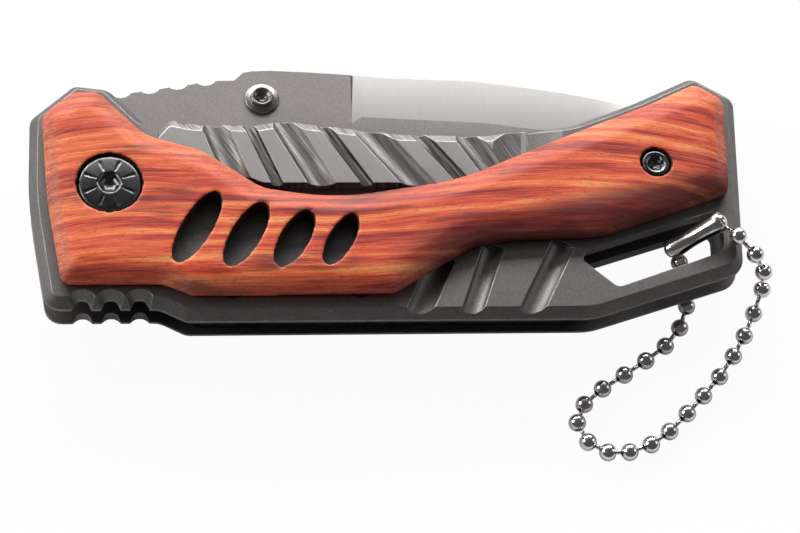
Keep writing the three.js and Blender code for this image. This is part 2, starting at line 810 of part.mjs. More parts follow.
function tailScrewFront() {
  const top = overallTop - tailHeadRecess;
  const seat = top - tailHeadHeight;
  const reach = frontFrameBottom - bladeGap * 0.4;
  const profile = [
    [0, reach],
    [screwRadius, reach],
    [screwRadius, seat],
    [tailHeadRadius, seat],
    [tailHeadRadius, top - 0.3],
    [tailHeadRadius - 0.3, top],
    [0, top],
  ];
  const screw = turned(tailX, tailY, profile, 28);
  const lobes = [];
  for (let lobe = 0; lobe < 6; lobe += 1) {
    const angle = (lobe / 6) * 2 * Math.PI;
    lobes.push(post(tailX + 1.05 * Math.cos(angle), tailY + 1.05 * Math.sin(angle), 0.38, top - 0.9, top + 1, 10));
  }
  return cut(screw, [post(tailX, tailY, 1.05, top - 0.9, top + 1, 18), ...lobes]);
}

function spacerScrew(x, surface, direction) {
  return countersunkShape(x, surface, direction, 0);
}

// Wood scales

// Both screw heads sit in round recesses of the wood, which their shanks pass through
function woodScale() {
  const low = frontFrameTop;
  const high = overallTop;
  const blank = plate(woodCorners, [
    [low, 0],
    [low + woodEdgeHeight, woodEdgeInset],
    [low + woodBevelTop, woodBevelInset],
    [high, woodCrownInset],
  ]);
  const tailSeat = high - tailHeadRecess - tailHeadHeight;
  return cut(blank, [
    post(0, 0, pivotRadius + slack, low - 1, high + 1),
    post(0, 0, pivotHeadRadius + woodHeadRoom, high - pivotHeadHeight, high + 1, 40),
    post(tailX, tailY, screwRadius + slack, low - 1, high + 1, 20),
    post(tailX, tailY, tailHeadRadius + woodHeadRoom, tailSeat, high + 1, 28),
    ...windows.map((window) => windowCut(window, low - 1, high + 1)),
  ]);
}

// Ball chain and its connector

function ballChain() {
  const beads = beadPlaces.map((place) => {
    const geometry = new THREE.SphereGeometry(beadRadius, 8, 6);
    geometry.translate(...place);
    return toSolid(geometry);
  });
  const links = beadPlaces.slice(1).map((place, index) => bar(beadPlaces[index], place, linkRadius, 5));
  return join([...beads, ...links]);
}

function chainConnector() {
  const right = new THREE.Vector3(...beadPlaces[0]);
  const left = new THREE.Vector3(...beadPlaces[beadPlaces.length - 1]);
  const along = right.clone().sub(left).normalize();
  const from = left.clone().addScaledVector(along, -connectorOverhang);
  const to = right.clone().addScaledVector(along, connectorOverhang);
  const farFrom = from.clone().addScaledVector(along, -1).toArray();
  const farTo = to.clone().addScaledVector(along, 1).toArray();
  const tube = bar(from.toArray(), to.toArray(), connectorRadius, 24);
  const bore = bar(farFrom, farTo, connectorRadius - connectorWall, 24);
  const firstLink = bar(beadPlaces[0], beadPlaces[1], linkRadius + connectorPlay, 12);
  const lastPlaces = beadPlaces.slice(-2);
  const lastLink = bar(lastPlaces[1], lastPlaces[0], linkRadius + connectorPlay, 12);
  return cut(tube, [bore, firstLink, lastLink]);
}

// Assembly

const knife = new THREE.Group();

function addPart(name, solid, material) {
  const mesh = new THREE.Mesh(toGeometry(solid), material);
  mesh.name = name;
  knife.add(mesh);
}

addPart('front_frame', frontFrame(), materials.frame);
addPart('lock_bar', lockBar(), materials.lockBar);
addPart('rear_frame', rearFrame(), materials.frame);
addPart('back_spacer', backSpacer(), materials.black);
addPart('blade', blade(), materials.blade);
addPart('thumb_stud', thumbStud(), materials.steel);
addPart('thumb_stud_nut', studNut(), materials.steel);
addPart('pivot_barrel', pivotBarrel(), materials.black);
addPart('pivot_screw', pivotScrew(), materials.black);
addPart('front_washer', washer(bladeTop, frontFrameBottom), materials.bronze);
addPart('rear_washer', washer(rearFrameTop, bladeBottom), materials.bronze);
addPart('stop_pin', stopPin(), materials.steel);
addPart('detent_ball', detentBall(), materials.steel);
addPart('front_wood_scale', woodScale(), materials.wood);
addPart('rear_wood_scale', mirrorAcrossMiddle(woodScale()), materials.wood);
addPart('tail_standoff', tailStandoff(), materials.steel);
addPart('tail_screw_front', tailScrewFront(), materials.black);
addPart('tail_screw_rear', mirrorAcrossMiddle(tailScrewFront()), materials.black);
spacerScrews.forEach((x, index) => {
  addPart(`spacer_screw_front_${index + 1}`, spacerScrew(x, frontFrameTop, 1), materials.black);
  addPart(`spacer_screw_rear_${index + 1}`, spacerScrew(x, rearFrameBottom, -1), materials.black);
});
addPart('chain_connector', chainConnector(), materials.chrome);
addPart('ball_chain', ballChain(), materials.chrome);

export default knife;
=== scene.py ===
import math

import bmesh
import bpy
from mathutils import Matrix, Vector


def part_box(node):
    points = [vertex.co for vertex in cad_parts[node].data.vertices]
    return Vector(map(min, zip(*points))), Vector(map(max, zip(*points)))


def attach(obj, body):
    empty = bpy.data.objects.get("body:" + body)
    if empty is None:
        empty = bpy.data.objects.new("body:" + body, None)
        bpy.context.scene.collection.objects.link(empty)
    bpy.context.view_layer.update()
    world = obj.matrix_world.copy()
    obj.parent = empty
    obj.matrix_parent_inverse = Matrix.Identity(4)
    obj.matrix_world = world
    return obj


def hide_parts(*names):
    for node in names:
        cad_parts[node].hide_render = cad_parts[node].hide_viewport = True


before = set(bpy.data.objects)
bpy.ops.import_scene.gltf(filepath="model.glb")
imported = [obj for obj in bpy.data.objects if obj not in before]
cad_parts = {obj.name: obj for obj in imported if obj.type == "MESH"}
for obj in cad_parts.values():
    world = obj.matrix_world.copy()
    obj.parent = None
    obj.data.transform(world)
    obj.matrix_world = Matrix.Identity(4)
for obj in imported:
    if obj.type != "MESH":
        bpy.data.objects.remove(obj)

scene = bpy.context.scene
scene.view_settings.view_transform = "Standard"
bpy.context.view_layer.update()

# Lengths are in millimetres and angles in degrees, unless a note says otherwise.
mm = 0.001
weldGap = 0.002  # points closer than this are joined
sliverLength = 0.001  # edges shorter than this are dropped


# Camera

cameraView = {
    "place": (4.0, -176.7, 343.8),
    "turn": (26.373, -5.960, -3.246),
    "lens": 100.575,
    "sensor": 36.0,
}


def addCamera(view):
    lens = bpy.data.cameras.new("photoCamera")
    lens.lens = view["lens"]
    lens.sensor_width = view["sensor"]
    lens.clip_start = 0.01
    camera = bpy.data.objects.new("photoCamera", lens)
    camera.location = Vector(view["place"]) * mm
    camera.rotation_euler = [math.radians(angle) for angle in view["turn"]]
    scene.collection.objects.link(camera)
    scene.camera = camera


addCamera(cameraView)
print("camera placed")


# Making and placing pieces

def finishPiece(name, shape, body, material, replaced, weighted=False):
    mesh = bpy.data.meshes.new(name)
    for face in shape.faces:
        face.smooth = True
    shape.to_mesh(mesh)
    shape.free()
    mesh.materials.append(material)
    piece = bpy.data.objects.new(name, mesh)
    scene.collection.objects.link(piece)
    if weighted:
        weights = piece.modifiers.new("weightedNormals", "WEIGHTED_NORMAL")
        weights.mode = "FACE_AREA"
        weights.weight = 60
    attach(piece, body)
    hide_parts(*replaced)
    return piece


def nodeCentre(name):
    low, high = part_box(name)
    return (Vector(low) + Vector(high)) / 2


# A copy of a node's mesh with its points merged and its flat faces joined up
def nodeShape(name, flatAngle=0.5):
    shape = bmesh.new()
    shape.from_mesh(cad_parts[name].data)
    bmesh.ops.remove_doubles(shape, verts=shape.verts, dist=weldGap * mm)
    bmesh.ops.dissolve_degenerate(shape, dist=sliverLength * mm, edges=shape.edges)
    bmesh.ops.dissolve_limit(
        shape,
        angle_limit=math.radians(flatAngle),
        verts=shape.verts,
        edges=shape.edges,
    )
    return shape


# Rounds the edges that turn by more than an angle, and marks the new faces for the wear on them
def softenEdges(shape, width, sharpFrom=24, segments=2):
    worn = shape.faces.layers.float.new("edgeWear")
    sharpEdges = [edge for edge in shape.edges if edge.calc_face_angle(0) > math.radians(sharpFrom)]
    result = bmesh.ops.bevel(
        shape,
        geom=sharpEdges,
        offset=width * mm,
        offset_type="OFFSET",
        segments=segments,
        profile=0.5,
        affect="EDGES",
        clamp_overlap=False,
        material=-1,
    )
    for face in result["faces"]:
        face[worn] = 1.0


# Turns a profile of (radius, height) about an upright line
def spinProfile(shape, profile, steps, centre=(0, 0)):
    start = [shape.verts.new((radius * mm, 0, height * mm)) for radius, height in profile]
    edges = [shape.edges.new(pair) for pair in zip(start, start[1:])]
    bmesh.ops.spin(
        shape,
        geom=start + edges,
        cent=(0, 0, 0),
        axis=(0, 0, 1),
        angle=2 * math.pi,
        steps=steps,
        use_merge=True,
    )
    bmesh.ops.remove_doubles(shape, verts=shape.verts, dist=weldGap * mm)
    bmesh.ops.recalc_face_normals(shape, faces=shape.faces)
    bmesh.ops.translate(shape, verts=shape.verts, vec=(centre[0] * mm, centre[1] * mm, 0))


# Points of a rounded edge, from steps inwards from its radius and down from its top
def roundedEdge(radius, top, steps):
    return [(radius - inwards, top - down) for inwards, down in steps]


# Angle between a face and the flat sides of the knife
def slopeOf(face):
    return math.degrees(math.acos(min(1.0, abs(face.normal.z))))


# Shader node helpers

# Links a socket to a node's output, or sets a plain value on it
def feed(tree, socket, value):
    if isinstance(value, bpy.types.NodeSocket):
        tree.links.new(value, socket)
    else:
        socket.default_value = value


def addNode(tree, kind, inputs=None, **settings):
    node = tree.nodes.new(kind)
    for label, value in settings.items():
        setattr(node, label, value)
    for label, value in (inputs or {}).items():
        feed(tree, node.inputs[label], value)
    return node


def calculate(tree, operation, first, second=0.0, third=0.0):
    node = addNode(tree, "ShaderNodeMath", {0: first, 1: second, 2: third}, operation=operation)
    return node.outputs[0]


def mixColours(tree, mask, first, second, blend="MIX"):
    sockets = {0: mask, 6: first, 7: second}
    return addNode(tree, "ShaderNodeMix", sockets, data_type="RGBA", blend_type=blend).outputs[2]


def mixValues(tree, mask, first, second):
    return addNode(tree, "ShaderNodeMix", {0: mask, 2: first, 3: second}).outputs[0]


def remap(tree, value, low, high, newLow=0.0, newHigh=1.0, smooth=False):
    labels = {"Value": value, "From Min": low, "From Max": high, "To Min": newLow, "To Max": newHigh}
    kind = "SMOOTHSTEP" if smooth else "LINEAR"
    return addNode(tree, "ShaderNodeMapRange", labels, interpolation_type=kind).outputs[0]


def rampOf(tree, factor, stops):
    node = addNode(tree, "ShaderNodeValToRGB", {0: factor})
    ramp = node.color_ramp
    while len(ramp.elements) < len(stops):
        ramp.elements.new(0.5)
    for element, (place, colour) in zip(ramp.elements, stops):
        element.position = place
        element.color = (*colour, 1)
    return node.outputs[0]


def objectPlace(tree):
    return addNode(tree, "ShaderNodeTexCoord").outputs["Object"]


def attributeOf(tree, name):
    return addNode(tree, "ShaderNodeAttribute", attribute_name=name).outputs["Fac"]


# Noise at a grain size in millimetres; stretch lengthens the grain along X, Y or Z
def noiseOf(tree, vector, size, stretch=(1, 1, 1), detail=2.0, roughness=0.5, turn=0.0, offset=(0, 0, 0)):
    mapping = addNode(tree, "ShaderNodeMapping", {
        "Vector": vector,
        "Location": offset,
        "Rotation": (0, 0, math.radians(turn)),
        "Scale": [1 / (size * mm * length) for length in stretch],
    }, vector_type="POINT")
    texture = addNode(tree, "ShaderNodeTexNoise", {
        "Vector": mapping.outputs[0],
        "Scale": 1.0,
        "Detail": detail,
        "Roughness": roughness,
    })
    return texture.outputs[0]


# A factor for the colour, from a pattern that swings about its middle level
def shadeOf(tree, pattern, contrast, gain):
    swing = calculate(tree, "MULTIPLY", calculate(tree, "SUBTRACT", pattern, 0.5), contrast)
    return calculate(tree, "MULTIPLY_ADD", swing, gain, 1.0)


def shadeColour(tree, colour, shade):
    tone = addNode(tree, "ShaderNodeCombineColor", {0: shade, 1: shade, 2: shade}).outputs[0]
    return mixColours(tree, 1.0, colour, tone, "MULTIPLY")


# Shared surface effects

surfaceGrain = {
    "wearPatches": 2.2,
    "patchLevels": (0.35, 0.6),
    "patchShares": (0.35, 1.0),
    "wearSpecks": 0.3,
    "speckLevels": (0.3, 0.6),
    "speckShares": (0.5, 1.0),
    "gritFine": 0.13,
    "gritCoarse": 0.32,
    "gritFineShare": 0.6,
    "gritGain": 8.0,  # how far the speckle lightens and darkens at full contrast
    "brushLines": 0.11,
    "brushLength": 60,  # how many times longer than wide a brushed line is
    "brushGain": 6.0,
}

noiseLevels = (0.3, 0.7)  # what a plain noise seldom leaves
plainGrey = (0.2, 0.2, 0.2, 1)
paleGrey = (0.5, 0.5, 0.5, 1)


def newGroup(name, inputs, outputs):
    group = bpy.data.node_groups.new(name, "ShaderNodeTree")
    kinds = {"colour": "NodeSocketColor", "value": "NodeSocketFloat"}
    for label, kind, value in inputs:
        socket = group.interface.new_socket(name=label, in_out="INPUT", socket_type=kinds[kind])
        socket.default_value = value
    for label, kind in outputs:
        group.interface.new_socket(name=label, in_out="OUTPUT", socket_type=kinds[kind])
    start = group.nodes.new("NodeGroupInput")
    end = group.nodes.new("NodeGroupOutput")
    return group, start.outputs, end.inputs


def placeGroup(tree, group, inputs):
    return addNode(tree, "ShaderNodeGroup", inputs, node_tree=group).outputs


# Worn edges: the colour goes over to bare metal where the edgeWear attribute is set, in patches
def buildEdgeWear(grain):
    group, inputs, outputs = newGroup(
        "edgeWear",
        [("Colour", "colour", plainGrey), ("Bare", "colour", paleGrey), ("Amount", "value", 0.5)],
        [("Colour", "colour"), ("Mask", "value")],
    )
    place = objectPlace(group)
    patches = noiseOf(group, place, grain["wearPatches"], detail=4)
    patches = remap(group, patches, *grain["patchLevels"], *grain["patchShares"])
    specks = noiseOf(group, place, grain["wearSpecks"], detail=2)
    specks = remap(group, specks, *grain["speckLevels"], *grain["speckShares"])
    mask = calculate(group, "MULTIPLY", attributeOf(group, "edgeWear"), patches)
    mask = calculate(group, "MULTIPLY", mask, specks)
    mask = calculate(group, "MULTIPLY", mask, inputs["Amount"])
    group.links.new(mixColours(group, mask, inputs["Colour"], inputs["Bare"]), outputs["Colour"])
    group.links.new(mask, outputs["Mask"])
    return group


# Blasted grain: a fine grit for the bump and a matching light and dark speckle
def buildGrit(grain):
    group, inputs, outputs = newGroup(
        "grit",
        [("Colour", "colour", plainGrey), ("Contrast", "value", 0.2)],
        [("Colour", "colour"), ("Height", "value")],
    )
    place = objectPlace(group)
    fine = noiseOf(group, place, grain["gritFine"], detail=2, roughness=0.6)
    coarse = noiseOf(group, place, grain["gritCoarse"], detail=2, offset=(3, 5, 7))
    coarsePart = calculate(group, "MULTIPLY", coarse, 1 - grain["gritFineShare"])
    height = calculate(group, "MULTIPLY_ADD", fine, grain["gritFineShare"], coarsePart)
    shade = shadeOf(group, height, inputs["Contrast"], grain["gritGain"])
    group.links.new(shadeColour(group, inputs["Colour"], shade), outputs["Colour"])
    group.links.new(height, outputs["Height"])
    return group


# Slow change of tone over a surface, as handling and uneven finishing leave it
def buildMottle():
    group, inputs, outputs = newGroup(
        "mottle",
        [("Colour", "colour", plainGrey), ("Size", "value", 9.0), ("Amount", "value", 0.15)],
        [("Colour", "colour"), ("Mask", "value")],
    )
    texture = addNode(group, "ShaderNodeTexNoise", {
        "Vector": objectPlace(group),
        "Scale": calculate(group, "DIVIDE", 1 / mm, inputs["Size"]),
        "Detail": 3.0,
    })
    mask = remap(group, texture.outputs[0], *noiseLevels)
    darker = calculate(group, "SUBTRACT", 1.0, calculate(group, "MULTIPLY", mask, inputs["Amount"]))
    group.links.new(shadeColour(group, inputs["Colour"], darker), outputs["Colour"])
    group.links.new(mask, outputs["Mask"])
    return group


# Brushed lines along a direction in the XY plane
def buildBrushed(grain):
    group, inputs, outputs = newGroup(
        "brushed",
        [("Colour", "colour", plainGrey), ("Turn", "value", 0.0), ("Contrast", "value", 0.2)],
        [("Colour", "colour"), ("Height", "value")],
    )
    turned = addNode(group, "ShaderNodeVectorRotate", {
        "Vector": objectPlace(group),
        "Angle": calculate(group, "RADIANS", inputs["Turn"]),
    }, rotation_type="Z_AXIS").outputs[0]
    stretch = (grain["brushLength"], 1, grain["brushLength"])
    lines = noiseOf(group, turned, grain["brushLines"], stretch=stretch, detail=3, roughness=0.6)
    shade = shadeOf(group, lines, inputs["Contrast"], grain["brushGain"])
    group.links.new(shadeColour(group, inputs["Colour"], shade), outputs["Colour"])
    group.links.new(lines, outputs["Height"])
    return group


edgeWearGroup = buildEdgeWear(surfaceGrain)
gritGroup = buildGrit(surfaceGrain)
mottleGroup = buildMottle()
brushedGroup = buildBrushed(surfaceGrain)


# Materials

def newMaterial(name, metallic, roughness, **sockets):
    material = bpy.data.materials.new(name)
    material.use_nodes = True
    tree = material.node_tree
    shader = tree.nodes["Principled BSDF"]
    shader.inputs["Metallic"].default_value = metallic
    shader.inputs["Roughness"].default_value = roughness
    for label, value in sockets.items():
        shader.inputs[label].default_value = value
    return material, tree, shader.inputs


def connectShader(tree, shader, colour, roughness, normal):
    tree.links.new(colour, shader["Base Color"])
    tree.links.new(roughness, shader["Roughness"])
    tree.links.new(normal, shader["Normal"])


def addBump(tree, height, depth, under=None):
    inputs = {"Height": height, "Distance": depth * mm, "Strength": 1.0}
    if under is not None:
        inputs["Normal"] = under
    return addNode(tree, "ShaderNodeBump", inputs).outputs[0]


def addMottle(tree, colour, finish):
    return placeGroup(tree, mottleGroup, {
        "Colour": colour,
        "Size": finish["mottleSize"],
        "Amount": finish["mottle"],
    })


def addWear(tree, colour, finish):
    return placeGroup(tree, edgeWearGroup, {
        "Colour": colour,
        "Bare": finish["bare"],
        "Amount": finish["wear"],
    })


# Roughness that goes from a little under the finish's own to a little over it
def varyRoughness(tree, mask, finish, low=0, high=1):
    under, over = finish["roughnessSwing"]
    return remap(tree, mask, low, high, finish["roughness"] - under, finish["roughness"] + over)


frameFinish = {
    "colour": (0.205, 0.193, 0.188, 1),
    "bare": (0.50, 0.49, 0.48, 1),
    "roughness": 0.50,
    "roughnessSwing": (0.04, 0.05),
    "mottleSize": 11.0,
    "mottle": 0.14,
    "gritDepth": 0.012,
    "gritContrast": 0.22,
    "wear": 0.35,
    "wornPolish": 0.12,  # how much smoother a worn edge is
}


def makeFrameMetal(finish):
    material, tree, shader = newMaterial("blastedGreySteel", 1.0, finish["roughness"])
    mottled = addMottle(tree, finish["colour"], finish)
    grit = placeGroup(tree, gritGroup, {"Colour": mottled["Colour"], "Contrast": finish["gritContrast"]})
    worn = addWear(tree, grit["Colour"], finish)
    polish = calculate(tree, "MULTIPLY", worn["Mask"], finish["wornPolish"])
    rough = calculate(tree, "SUBTRACT", varyRoughness(tree, mottled["Mask"], finish), polish)
    bump = addBump(tree, grit["Height"], finish["gritDepth"])
    connectShader(tree, shader, worn["Colour"], rough, bump)
    return material


lockBarFinish = {
    "colour": (0.355, 0.338, 0.330, 1),
    # painted shade: a darker colour for the flutes, chamfer and scoop, which darkens their hollows and dims
    # the chamfer's highlight
    "milled": (0.215, 0.205, 0.200, 1),
    "bare": (0.52, 0.51, 0.50, 1),
    "roughness": 0.46,
    "roughnessSwing": (0.04, 0.06),
    "mottleSize": 6.0,
    "mottle": 0.12,
    "lineTurn": 58.0,
    "lineContrast": 0.10,
    "milledContrast": 0.7,
    "lineDepth": 0.004,
    "wear": 0.35,
}


def makeLockBarMetal(finish):
    material, tree, shader = newMaterial("milledSteel", 1.0, finish["roughness"])
    milled = attributeOf(tree, "milled")
    # The milled faces take the darker colour, painted shade on top of their cutter's streaks
    mottled = addMottle(tree, mixColours(tree, milled, finish["colour"], finish["milled"]), finish)
    brushed = placeGroup(tree, brushedGroup, {
        "Colour": mottled["Colour"],
        "Turn": finish["lineTurn"],
        "Contrast": remap(tree, milled, 0, 1, finish["lineContrast"], finish["milledContrast"]),
    })
    worn = addWear(tree, brushed["Colour"], finish)
    rough = varyRoughness(tree, mottled["Mask"], finish)
    bump = addBump(tree, brushed["Height"], finish["lineDepth"])
    connectShader(tree, shader, worn["Colour"], rough, bump)
    return material


bladeFinish = {
    "colour": (0.275, 0.256, 0.248, 1),
    # painted light: the ground faces tilt towards the back lamp, and their lighter colour stands for the
    # light they catch, under their brushed lines
    "ground": (0.385, 0.372, 0.364, 1),
    "bare": (0.60, 0.60, 0.60, 1),
    "roughness": 0.48,
    "groundRoughness": 0.50,
    "mottleSize": 14.0,
    "mottle": 0.08,
    "gritDepth": 0.006,
    "gritContrast": 0.13,
    "lineTurn": 90.0,
    "lineContrast": 0.03,
    "lineShare": 0.5,  # depth of the grinding lines, as a share of the grit's
    "wear": 0.7,
}


def makeBladeSteel(finish):
    material, tree, shader = newMaterial("satinBladeSteel", 1.0, finish["roughness"])
    ground = attributeOf(tree, "ground")
    mottled = addMottle(tree, finish["colour"], finish)
    grit = placeGroup(tree, gritGroup, {"Colour": mottled["Colour"], "Contrast": finish["gritContrast"]})
    brushed = placeGroup(tree, brushedGroup, {
        "Colour": finish["ground"],
        "Turn": finish["lineTurn"],
        "Contrast": finish["lineContrast"],
    })
    worn = addWear(tree, mixColours(tree, ground, grit["Colour"], brushed["Colour"]), finish)
    rough = remap(tree, ground, 0, 1, finish["roughness"], finish["groundRoughness"])
    flats = calculate(tree, "MULTIPLY", grit["Height"], calculate(tree, "SUBTRACT", 1.0, ground))
    lineShare = calculate(tree, "MULTIPLY", ground, finish["lineShare"])
    relief = calculate(tree, "MULTIPLY_ADD", brushed["Height"], lineShare, flats)
    connectShader(tree, shader, worn["Colour"], rough, addBump(tree, relief, finish["gritDepth"]))
    return material


woodFinish = {
    "stops": (
        (0.00, (0.170, 0.014, 0.014)),
        (0.24, (0.400, 0.034, 0.022)),
        (0.46, (0.690, 0.082, 0.032)),
        (0.66, (0.830, 0.150, 0.048)),
        (0.86, (0.920, 0.250, 0.080)),
        (1.00, (0.960, 0.360, 0.130)),
    ),
    "stopLevels": (0.37, 0.61),  # levels of the mixed grain that the stops span
    "bandWidth": 2.9,
    "bandShare": 0.38,
    "streakWidth": 0.95,
    "streakShare": 0.34,
    "fibreWidth": 0.20,
    "fibreShare": 0.28,
    "fibreDepth": 0.010,
    "pore": (0.110, 0.012, 0.010, 1),
    "poreWidth": 0.14,
    "poreLevels": (0.62, 0.72),
    "poreShare": 0.6,
    "poreDepth": 0.8,  # as a share of the fibres' depth
    "roughness": 0.46,
    "roughnessSwing": (0.07, 0.12),
}

# The dark bands of the figure, and a wider band of painted shade that follows the low edge from the waist
# to the tail
heartwoodAndEdgeShade = {
    "colour": (0.105, 0.010, 0.013, 1),
    "width": 3.6,
    "levels": (0.52, 0.70),
    "share": 0.80,
    "edgeLevels": (0.32, 0.52),
    "edgeShares": (0.35, 0.92),
    "start": (53.6, -12.6),
    "climb": 0.240,  # of its lower line, per length along the handle
    "fade": (1.5, 6.0),  # distances above that line between which it fades
    "comesIn": (-12, 4),  # distances from its start between which it comes in
}

# The rough cut on the slopes, and painted shade on the steep walls of the windows and bores
sawnCutAndWallShade = {
    "pale": (0.80, 0.380, 0.270, 1),
    "dark": (0.300, 0.085, 0.060, 1),
    "shadedWall": (0.020, 0.012, 0.013, 1),
    "shadedWallShare": 0.94,
    "specks": 0.24,
    "fileMarks": 0.26,
    "fileTurn": -52,
    "fileShare": 0.45,
    "levels": (0.40, 0.62),
    "stripeShare": 0.45,  # how much of the striped colour shows through
    "cover": 0.85,
    "coverLostInEdgeShade": 0.75,
    "roughness": 0.78,
    "depth": 0.10,
}

grainFlow = {
    "tailFrom": 78,
    "frontFrom": 8,
    "droop": 5.0,  # metres, for each square metre of the distance past those places
    "riseFrom": 36,
    "riseTo": 84,
    "rise": 2.6,
    "wanderLength": 16,
    "wander": 0.6,
}


# Grain height: streaks run along the handle, rise past its waist and droop at both ends
def grainPlace(tree, place, flow):
    parts = addNode(tree, "ShaderNodeSeparateXYZ", {0: place}).outputs
    tail = calculate(tree, "MAXIMUM", calculate(tree, "SUBTRACT", parts["X"], flow["tailFrom"] * mm), 0.0)
    front = calculate(tree, "MAXIMUM", calculate(tree, "SUBTRACT", flow["frontFrom"] * mm, parts["X"]), 0.0)
    tailDroop = calculate(tree, "MULTIPLY", calculate(tree, "MULTIPLY", tail, tail), flow["droop"])
    frontDroop = calculate(tree, "MULTIPLY", calculate(tree, "MULTIPLY", front, front), flow["droop"])
    rise = remap(
        tree, parts["X"], flow["riseFrom"] * mm, flow["riseTo"] * mm, 0.0, flow["rise"] * mm, smooth=True)
    waves = noiseOf(tree, place, flow["wanderLength"], stretch=(3, 1, 1), detail=2)
    wander = remap(tree, waves, *noiseLevels, -flow["wander"] * mm, flow["wander"] * mm)
    height = calculate(tree, "SUBTRACT", calculate(tree, "ADD", parts["Y"], wander), rise)
    height = calculate(tree, "ADD", height, calculate(tree, "ADD", tailDroop, frontDroop))
    return addNode(tree, "ShaderNodeCombineXYZ", {0: parts["X"], 1: height, 2: parts["Z"]}).outputs[0]


# Painted shade: a band along the low edge from the waist to the tail, darkest near a climbing line and
# fading upwards
def edgeShadeBand(tree, place, heartAndShade):
    parts = addNode(tree, "ShaderNodeSeparateXYZ", {0: place}).outputs
    startX, startY = heartAndShade["start"]
    fadeFrom, fadeTo = heartAndShade["fade"]
    inFrom, inTo = heartAndShade["comesIn"]
    along = calculate(tree, "SUBTRACT", parts["X"], startX * mm)
    lowLine = calculate(tree, "MULTIPLY_ADD", along, heartAndShade["climb"], startY * mm)
    above = calculate(tree, "SUBTRACT", parts["Y"], lowLine)
    near = remap(tree, above, fadeFrom * mm, fadeTo * mm, 1.0, 0.0, smooth=True)
    return calculate(tree, "MULTIPLY", near, remap(tree, along, inFrom * mm, inTo * mm, smooth=True))


def makeRedWood(finish, heartAndShade, cut, flow):
    material, tree, shader = newMaterial("redStripedWood", 0.0, finish["roughness"], IOR=1.47)
    place = objectPlace(tree)
    grain = grainPlace(tree, place, flow)

    bands = noiseOf(tree, grain, finish["bandWidth"], stretch=(16, 1, 3), detail=2, roughness=0.5)
    streaks = noiseOf(tree, grain, finish["streakWidth"], stretch=(30, 1, 4), detail=3, roughness=0.55)
    fibres = noiseOf(tree, grain, finish["fibreWidth"], stretch=(30, 1, 4), detail=3, roughness=0.6)
    tone = calculate(tree, "MULTIPLY", bands, finish["bandShare"])
    tone = calculate(tree, "MULTIPLY_ADD", streaks, finish["streakShare"], tone)
    tone = calculate(tree, "MULTIPLY_ADD", fibres, finish["fibreShare"], tone)
    colour = rampOf(tree, remap(tree, tone, *finish["stopLevels"]), finish["stops"])

    figure = noiseOf(
        tree, grain, heartAndShade["width"], stretch=(9, 1, 3), detail=4, roughness=0.62, offset=(5, 2, 9))
    heartMask = remap(tree, figure, *heartAndShade["levels"], 0.0, heartAndShade["share"], smooth=True)
    edgeFigure = remap(tree, figure, *heartAndShade["edgeLevels"], *heartAndShade["edgeShares"])
    # The dark colour in that band is painted shade, broken up by the figure
    edgeShade = calculate(tree, "MULTIPLY", edgeShadeBand(tree, place, heartAndShade), edgeFigure)
    colour = mixColours(tree, calculate(tree, "MAXIMUM", heartMask, edgeShade), colour, heartAndShade["colour"])

    pores = noiseOf(tree, grain, finish["poreWidth"], stretch=(7, 1, 2), detail=1, offset=(11, 4, 2))
    poreMask = remap(tree, pores, *finish["poreLevels"], 0.0, finish["poreShare"])
    colour = mixColours(tree, poreMask, colour, finish["pore"])

    facet = attributeOf(tree, "facet")
    specks = noiseOf(tree, place, cut["specks"], detail=3, roughness=0.7)
    fileMarks = noiseOf(tree, place, cut["fileMarks"], stretch=(5, 1, 5), detail=2, turn=cut["fileTurn"])
    speckPart = calculate(tree, "MULTIPLY", specks, 1 - cut["fileShare"])
    rough = calculate(tree, "MULTIPLY_ADD", fileMarks, cut["fileShare"], speckPart)
    raw = mixColours(tree, remap(tree, rough, *cut["levels"]), cut["dark"], cut["pale"])
    raw = mixColours(tree, cut["stripeShare"], raw, colour)
    lost = calculate(tree, "MULTIPLY", edgeShade, cut["coverLostInEdgeShade"])
    cover = calculate(tree, "MULTIPLY", facet, calculate(tree, "SUBTRACT", cut["cover"], lost))
    colour = mixColours(tree, cover, colour, raw)
    # Painted shade on the steep walls inside the windows and bores
    shadedWall = calculate(tree, "MULTIPLY", attributeOf(tree, "shadedWall"), cut["shadedWallShare"])
    colour = mixColours(tree, shadedWall, colour, cut["shadedWall"])

    sheen = varyRoughness(tree, fibres, finish, *noiseLevels)
    roughness = mixValues(tree, facet, sheen, cut["roughness"])
    relief = calculate(tree, "MULTIPLY_ADD", poreMask, -finish["poreDepth"], fibres)
    grainBump = addBump(tree, relief, finish["fibreDepth"])
    bump = addBump(tree, calculate(tree, "MULTIPLY", rough, facet), cut["depth"], grainBump)
    connectShader(tree, shader, colour, roughness, bump)
    return material


blackFinish = {
    "colour": (0.13, 0.125, 0.13, 1),
    "bare": (0.45, 0.44, 0.43, 1),
    "roughness": 0.24,
    "roughnessSwing": (0.06, 0.14),
    "mottleSize": 3.0,
    "mottle": 0.35,
    "scratchSize": 0.35,
    "scratchDepth": 0.004,
    "wear": 0.7,
}

steelFinish = {
    "colour": (0.29, 0.278, 0.273, 1),
    "bare": (0.60, 0.60, 0.60, 1),
    "roughness": 0.34,
    "roughnessSwing": (0.05, 0.1),
    "mottleSize": 2.5,
    "mottle": 0.2,
    "scratchSize": 0.4,
    "scratchDepth": 0.002,
    "wear": 0.6,
}

bronzeFinish = {
    **steelFinish,
    "colour": (0.42, 0.25, 0.10, 1),
    "bare": (0.62, 0.42, 0.20, 1),
    "roughness": 0.38,
}


